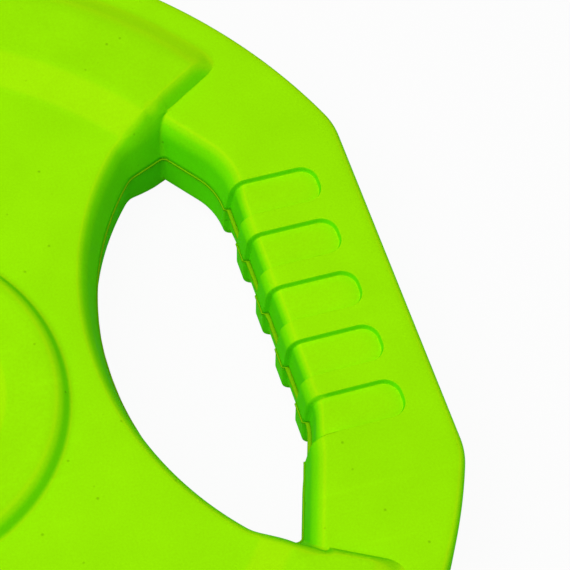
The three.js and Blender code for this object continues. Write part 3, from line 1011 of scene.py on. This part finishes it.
def steel_material():
    """Turned steel: rings left by the tool round every face, rubbed brighter where the bar
    slides, with light stains."""
    paint = Paint("turned steel", 9.0)
    paint.shader.inputs["Metallic"].default_value = 1.0
    split = paint.new("ShaderNodeSeparateXYZ")
    paint.link(paint.coords.outputs["Object"], split.inputs["Vector"])
    across = [paint.sum("MULTIPLY", split.outputs[axis], split.outputs[axis]) for axis in ("X", "Y")]
    radius = paint.sum("SQRT", paint.sum("ADD", *across), 0.0)
    round_axis = paint.sum("ARCTAN2", split.outputs["Y"], split.outputs["X"])
    ringed = paint.new("ShaderNodeCombineXYZ")
    paint.link(radius, ringed.inputs["X"])
    paint.link(paint.sum("MULTIPLY", round_axis, 0.0006), ringed.inputs["Y"])
    paint.link(split.outputs["Z"], ringed.inputs["Z"])
    rings = paint.noise(2600, 2, 0.3, source=ringed.outputs["Vector"])
    stains = paint.noise(70, 4, 1.1)
    base = paint.ramp(stains, (
        (0.3, (0.50, 0.49, 0.47)), (0.55, (0.58, 0.575, 0.565)), (0.75, (0.44, 0.41, 0.37))))
    worn = paint.spread(paint.noise(45, 3, 2.2, 0.0, (1, 1, 0.2)), 0.4, 0.65, 0.9, 1.08)
    paint.colour(base, paint.sum("MULTIPLY", worn, paint.spread(rings, 0.3, 0.7, 0.93, 1.05)))
    rough = paint.sum(
        "ADD", paint.spread(rings, 0.3, 0.7, 0.24, 0.38), paint.spread(stains, 0.5, 0.75, 0.0, 0.2))
    paint.link(rough, paint.shader.inputs["Roughness"])
    paint.bump(paint.sum("ADD", rings, paint.sum("MULTIPLY", paint.noise(240, 3, 3.3), 0.3)), 0.5, 0.00004)
    return paint.material


def turned_sleeve():
    angles = np.linspace(0, 2 * math.pi, SLEEVE_STEPS, endpoint=False)
    rounds = len(SLEEVE_PROFILE)
    corners = [
        (r * c * MM, r * s * MM, z * MM)
        for r, z in SLEEVE_PROFILE for c, s in zip(np.cos(angles), np.sin(angles))]
    faces = []
    for row in range(rounds):
        after = (row + 1) % rounds
        for i in range(SLEEVE_STEPS):
            j = (i + 1) % SLEEVE_STEPS
            faces.append((
                row * SLEEVE_STEPS + i, row * SLEEVE_STEPS + j,
                after * SLEEVE_STEPS + j, after * SLEEVE_STEPS + i))
    mesh = bpy.data.meshes.new("turned_sleeve")
    mesh.from_pydata(corners, [], faces)
    mesh.shade_smooth()
    mesh.materials.append(steel_material())
    piece = bpy.data.objects.new("turned_sleeve", mesh)
    bpy.context.scene.collection.objects.link(piece)
    return piece


sleeve = turned_sleeve()
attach(sleeve, "root")
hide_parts("bore_sleeve")


# Pale floor that the plate lies on, and soft studio light: one large lamp high on the left, a
# small weak one low on the right, and an even white surround. The camera looks down on one grip.

floor_mesh = bpy.data.meshes.new("floor")
half_floor = 3.0
floor_level = -0.01905
floor_mesh.from_pydata(
    [(-half_floor, -half_floor, floor_level), (half_floor, -half_floor, floor_level),
     (half_floor, half_floor, floor_level), (-half_floor, half_floor, floor_level)],
    [], [(0, 1, 2, 3)])
floor = bpy.data.objects.new("floor", floor_mesh)
bpy.context.scene.collection.objects.link(floor)
floor_paint = bpy.data.materials.new("pale floor")
floor_paint.use_nodes = True
tree = floor_paint.node_tree
tree.nodes["Principled BSDF"].inputs["Base Color"].default_value = (0.55, 0.55, 0.55, 1)
tree.nodes["Principled BSDF"].inputs["Roughness"].default_value = 0.8
tree.nodes["Principled BSDF"].inputs["Specular IOR Level"].default_value = 0.1
glow = tree.nodes.new("ShaderNodeEmission")
glow.inputs["Color"].default_value = (1, 1, 1, 1)
path = tree.nodes.new("ShaderNodeLightPath")
share = tree.nodes.new("ShaderNodeMath")
share.operation = "MULTIPLY"
share.inputs[1].default_value = 0.95
tree.links.new(path.outputs["Is Camera Ray"], share.inputs[0])
blend = tree.nodes.new("ShaderNodeMixShader")
tree.links.new(share.outputs["Value"], blend.inputs["Fac"])
tree.links.new(tree.nodes["Principled BSDF"].outputs["BSDF"], blend.inputs[1])
tree.links.new(glow.outputs["Emission"], blend.inputs[2])
tree.links.new(blend.outputs["Shader"], tree.nodes["Material Output"].inputs["Surface"])
floor_mesh.materials.append(floor_paint)

world = bpy.data.worlds.new("surround")
bpy.context.scene.world = world
world.use_nodes = True
tree = world.node_tree
surround = tree.nodes["Background"]
surround.inputs["Color"].default_value = (1, 1, 1, 1)
surround.inputs["Strength"].default_value = 0.2
backdrop = tree.nodes.new("ShaderNodeBackground")
backdrop.inputs["Color"].default_value = (1, 1, 1, 1)
backdrop.inputs["Strength"].default_value = 1.0
path = tree.nodes.new("ShaderNodeLightPath")
blend = tree.nodes.new("ShaderNodeMixShader")
tree.links.new(path.outputs["Is Camera Ray"], blend.inputs["Fac"])
tree.links.new(surround.outputs["Background"], blend.inputs[1])
tree.links.new(backdrop.outputs["Background"], blend.inputs[2])
tree.links.new(blend.outputs["Shader"], tree.nodes["World Output"].inputs["Surface"])


def softbox(name, place, aim, size, power):
    data = bpy.data.lights.new(name, "AREA")
    data.shape = "SQUARE"
    data.size = size
    data.energy = power
    lamp = bpy.data.objects.new(name, data)
    bpy.context.scene.collection.objects.link(lamp)
    lamp.location = place
    lamp.rotation_euler = (Vector(aim) - Vector(place)).to_track_quat("-Z", "Y").to_euler()


softbox("key softbox", (-0.87, -0.18, 1.97), (0.05, 0, 0), 2.0, 51)
softbox("fill softbox", (1.3, -0.2, 0.55), (0.05, 0, 0), 1.0, 4)

# the camera's place and turn: its right, its up and its way back
sensor_width = 36.0
focal_pixels = 2678.5
picture_pixels = 570
camera_data = bpy.data.cameras.new("camera")
camera_data.sensor_width = sensor_width
camera_data.lens = sensor_width * focal_pixels / picture_pixels
camera_data.clip_end = 20
camera = bpy.data.objects.new("camera", camera_data)
bpy.context.scene.collection.objects.link(camera)
rise = math.radians(58.011)
roll = math.radians(6.925)
turn = math.radians(23.899)
ahead = Vector((0, math.cos(rise), -math.sin(rise)))
level = Vector((1, 0, 0))
lift = Vector((0, math.sin(rise), math.cos(rise)))
right = math.cos(roll) * level + math.sin(roll) * lift
up = -math.sin(roll) * level + math.cos(roll) * lift
facing_plate = Matrix.Rotation(-turn, 3, "Z")
right, up, back = (facing_plate @ axis for axis in (right, up, -ahead))
pose = Matrix((right, up, back)).transposed().to_4x4()
pose.translation = Vector((-0.042347, -0.364289, 0.663169))
camera.matrix_world = pose
bpy.context.scene.camera = camera

bpy.context.scene.view_settings.view_transform = "Standard"
